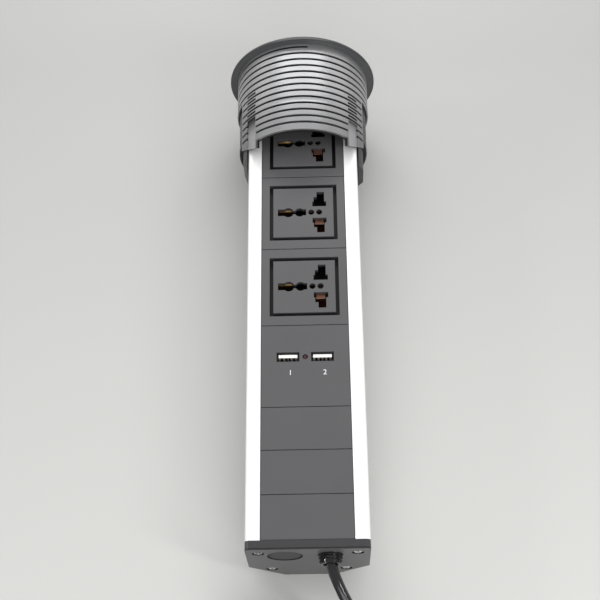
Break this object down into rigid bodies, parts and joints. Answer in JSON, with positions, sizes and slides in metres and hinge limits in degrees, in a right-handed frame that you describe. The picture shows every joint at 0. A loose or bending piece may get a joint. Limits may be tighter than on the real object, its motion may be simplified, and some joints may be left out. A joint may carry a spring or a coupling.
{
  "type": "pop-up desk socket",
  "caption": "Aluminium tower of flush outlets, charging ports and blank plates that slides up through a ribbed round desk collar, with a cord, gland and plug.",
  "frame": {"origin": "on the collar's axis, in the plane of the flange's underside, where it meets the desk top", "axes": "+X to the right of the outlets, +Y up the tower out of the desk, +Z out of the outlets' faces; the object is stored lying on its back, tower lowered"},
  "size_m": [0.1205, 0.5075, 0.0978],
  "materials": {
    "collar_plastic": "moulding, lands of the sleeve lacquered silver",
    "profile_aluminium": "satin anodised",
    "panel_plastic": "fine matte",
    "cap_plastic": "fine matte",
    "housing_plastic": "plain",
    "screw_steel": "bright",
    "contact_copper": "copper, sprung",
    "busbar_brass": "plain",
    "shell_steel": "plated",
    "tongue_plastic": "plain",
    "board_green": "lacquered board",
    "indicator_red": "tinted lens, unlit",
    "gland_black": "glossy",
    "cord_rubber": "smooth sheath",
    "tie_plastic": "plain",
    "plug_black": "fine matte",
    "pin_brass": "bright",
    "fuse_red": "plain"
  },
  "bodies": {
    "collar": {"collar_sleeve": "collar_plastic"},
    "tower": {"tower_profile": "profile_aluminium", "top_lid": "collar_plastic", "top_cap": "cap_plastic", "top_cap_screws": "screw_steel", "blank_plate_top": "panel_plastic", "outlet_1_frame": "panel_plastic", "outlet_1_face": "panel_plastic", "outlet_1_housing": "housing_plastic", "outlet_1_line": "contact_copper", "outlet_1_neutral": "contact_copper", "outlet_1_earth": "contact_copper", "outlet_2_frame": "panel_plastic", "outlet_2_face": "panel_plastic", "outlet_2_housing": "housing_plastic", "outlet_2_line": "contact_copper", "outlet_2_neutral": "contact_copper", "outlet_2_earth": "contact_copper", "outlet_3_frame": "panel_plastic", "outlet_3_face": "panel_plastic", "outlet_3_housing": "housing_plastic", "outlet_3_line": "contact_copper", "outlet_3_neutral": "contact_copper", "outlet_3_earth": "contact_copper", "port_plate": "panel_plastic", "port_housing": "housing_plastic", "port_shell_left": "shell_steel", "port_shell_right": "shell_steel", "port_tongue_left": "tongue_plastic", "port_tongue_right": "tongue_plastic", "port_contacts_left": "busbar_brass", "port_contacts_right": "busbar_brass", "circuit_board": "board_green", "indicator": "indicator_red", "blank_plate_1": "panel_plastic", "blank_plate_2": "panel_plastic", "blank_plate_3": "panel_plastic", "line_busbar": "busbar_brass", "neutral_busbar": "busbar_brass", "earth_busbar": "busbar_brass", "bottom_cap": "cap_plastic", "bottom_cap_screws": "screw_steel", "knockout_disc": "cap_plastic", "gland_body": "gland_black", "gland_locknut": "gland_black", "cord_lead": "cord_rubber", "cord_coil": "cord_rubber", "cord_tie": "tie_plastic", "plug_strain_relief": "plug_black", "plug_body": "plug_black", "plug_power_pins": "pin_brass", "plug_earth_pin": "pin_brass", "plug_fuse_cover": "fuse_red"}
  },
  "joints": [
    {"name": "tower_slide", "type": "slide", "parent": "collar", "child": "tower", "axis": [0, 1, 0], "range_m": [0, 0.2645]}
  ]
}
